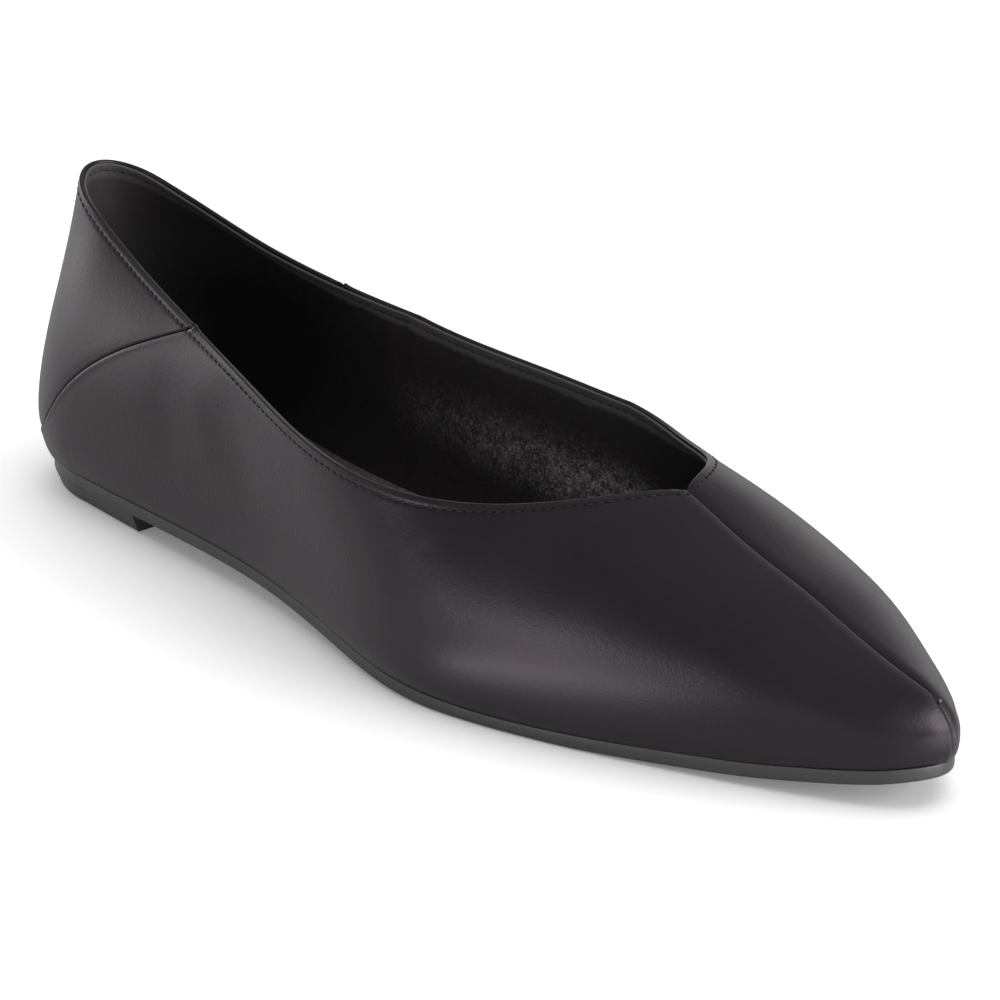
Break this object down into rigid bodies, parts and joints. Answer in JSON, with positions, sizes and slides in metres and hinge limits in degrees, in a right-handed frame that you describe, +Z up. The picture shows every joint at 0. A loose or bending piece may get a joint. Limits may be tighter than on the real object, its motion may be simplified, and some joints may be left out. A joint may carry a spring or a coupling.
{
  "type": "flat shoe",
  "caption": "Low-cut leather flat shoe with a pointed toe, V throat, centre-front seam, heel counter panel, thin outsole and low heel block; right foot.",
  "frame": {"origin": "centre of the bounding box in plan, on the floor that the heel and the tread stand on", "axes": "+X towards the toe, +Y to the medial side (the wearer's left), +Z up"},
  "size_m": [0.2628, 0.0806, 0.0664],
  "materials": {
    "upper": "smooth black leather, satin",
    "outsole": "matt dark grey rubber",
    "heel": "matt dark grey rubber",
    "insole": "black napped lining over board"
  },
  "bodies": {
    "root": {"upper": "upper", "outsole": "outsole", "heel": "heel", "insole": "insole"}
  },
  "joints": []
}
